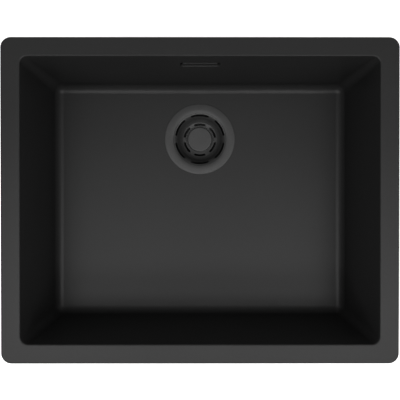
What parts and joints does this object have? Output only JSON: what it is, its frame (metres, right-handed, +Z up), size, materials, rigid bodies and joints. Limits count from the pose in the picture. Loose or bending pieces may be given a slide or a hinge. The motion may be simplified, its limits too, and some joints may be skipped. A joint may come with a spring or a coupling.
{
  "type": "single bowl kitchen sink",
  "caption": "Inset composite kitchen sink with one rectangular bowl, a flat rim, a wall overflow, a lift-out basket strainer waste and swing clamps under the rim.",
  "frame": {"origin": "centre of the bowl in plan, at the height of the worktop's top face, where the rim seal lies", "axes": "+X to the right along the length, +Y to the back wall with the overflow, +Z up"},
  "size_m": [0.553, 0.4591, 0.298],
  "materials": {
    "composite": "matt black mineral composite with a fine grain",
    "black_polymer": "satin black moulded polymer",
    "pipe_polymer": "off-white moulded polypropylene",
    "rubber": "soft black rubber",
    "foam": "closed-cell foam strip",
    "steel": "stainless screws",
    "zinc_steel": "zinc-plated pressed steel",
    "brass": "turned brass"
  },
  "bodies": {
    "sink": {"sink_bowl": "composite", "rim_seal": "foam", "clamp_inserts": "brass", "overflow_cover": "black_polymer", "overflow_gasket": "rubber", "overflow_housing": "pipe_polymer", "overflow_screws": "steel", "overflow_inserts": "brass", "overflow_pipe": "pipe_polymer", "upper_pipe_washer": "rubber", "upper_pipe_nut": "pipe_polymer", "lower_pipe_washer": "rubber", "lower_pipe_nut": "pipe_polymer", "strainer_dish": "black_polymer", "flange_seal": "rubber", "body_seal": "rubber", "waste_body": "pipe_polymer", "centre_screw": "steel", "centre_nut": "brass", "clamp_block_1": "black_polymer", "clamp_block_2": "black_polymer", "clamp_block_3": "black_polymer", "clamp_block_4": "black_polymer", "clamp_block_5": "black_polymer", "clamp_block_6": "black_polymer"},
    "basket": {"strainer_basket": "black_polymer", "basket_knob": "black_polymer", "basket_stem": "black_polymer", "grip_ring": "rubber", "stopper_plate": "black_polymer", "stopper_seal": "rubber", "stem_nut": "black_polymer"},
    "clamp_screw_1": {"clamp_screw_1": "steel"},
    "clamp_claw_1": {"clamp_claw_1": "zinc_steel"},
    "clamp_screw_2": {"clamp_screw_2": "steel"},
    "clamp_claw_2": {"clamp_claw_2": "zinc_steel"},
    "clamp_screw_3": {"clamp_screw_3": "steel"},
    "clamp_claw_3": {"clamp_claw_3": "zinc_steel"},
    "clamp_screw_4": {"clamp_screw_4": "steel"},
    "clamp_claw_4": {"clamp_claw_4": "zinc_steel"},
    "clamp_screw_5": {"clamp_screw_5": "steel"},
    "clamp_claw_5": {"clamp_claw_5": "zinc_steel"},
    "clamp_screw_6": {"clamp_screw_6": "steel"},
    "clamp_claw_6": {"clamp_claw_6": "zinc_steel"}
  },
  "joints": [
    {"name": "basket_lift", "type": "slide", "parent": "sink", "child": "basket", "axis": [0, 0, 1], "range_m": [0, 0.25]},
    {"name": "clamp_1_lift", "type": "slide", "parent": "sink", "child": "clamp_screw_1", "axis": [0, 0, 1], "range_m": [0, 0.014]},
    {"name": "clamp_1_swing", "type": "hinge", "parent": "clamp_screw_1", "child": "clamp_claw_1", "pos_m": [-0.165, 0.2125, -0.057], "axis": [0, 0, 1], "range_deg": [0, 90]},
    {"name": "clamp_2_lift", "type": "slide", "parent": "sink", "child": "clamp_screw_2", "axis": [0, 0, 1], "range_m": [0, 0.014]},
    {"name": "clamp_2_swing", "type": "hinge", "parent": "clamp_screw_2", "child": "clamp_claw_2", "pos_m": [0.165, 0.2125, -0.057], "axis": [0, 0, 1], "range_deg": [0, 90]},
    {"name": "clamp_3_lift", "type": "slide", "parent": "sink", "child": "clamp_screw_3", "axis": [0, 0, 1], "range_m": [0, 0.014]},
    {"name": "clamp_3_swing", "type": "hinge", "parent": "clamp_screw_3", "child": "clamp_claw_3", "pos_m": [0.2625, 0, -0.057], "axis": [0, 0, 1], "range_deg": [0, 90]},
    {"name": "clamp_4_lift", "type": "slide", "parent": "sink", "child": "clamp_screw_4", "axis": [0, 0, 1], "range_m": [0, 0.014]},
    {"name": "clamp_4_swing", "type": "hinge", "parent": "clamp_screw_4", "child": "clamp_claw_4", "pos_m": [0.165, -0.2125, -0.057], "axis": [0, 0, 1], "range_deg": [0, 90]},
    {"name": "clamp_5_lift", "type": "slide", "parent": "sink", "child": "clamp_screw_5", "axis": [0, 0, 1], "range_m": [0, 0.014]},
    {"name": "clamp_5_swing", "type": "hinge", "parent": "clamp_screw_5", "child": "clamp_claw_5", "pos_m": [-0.165, -0.2125, -0.057], "axis": [0, 0, 1], "range_deg": [0, 90]},
    {"name": "clamp_6_lift", "type": "slide", "parent": "sink", "child": "clamp_screw_6", "axis": [0, 0, 1], "range_m": [0, 0.014]},
    {"name": "clamp_6_swing", "type": "hinge", "parent": "clamp_screw_6", "child": "clamp_claw_6", "pos_m": [-0.2625, 0, -0.057], "axis": [0, 0, 1], "range_deg": [0, 90]}
  ]
}
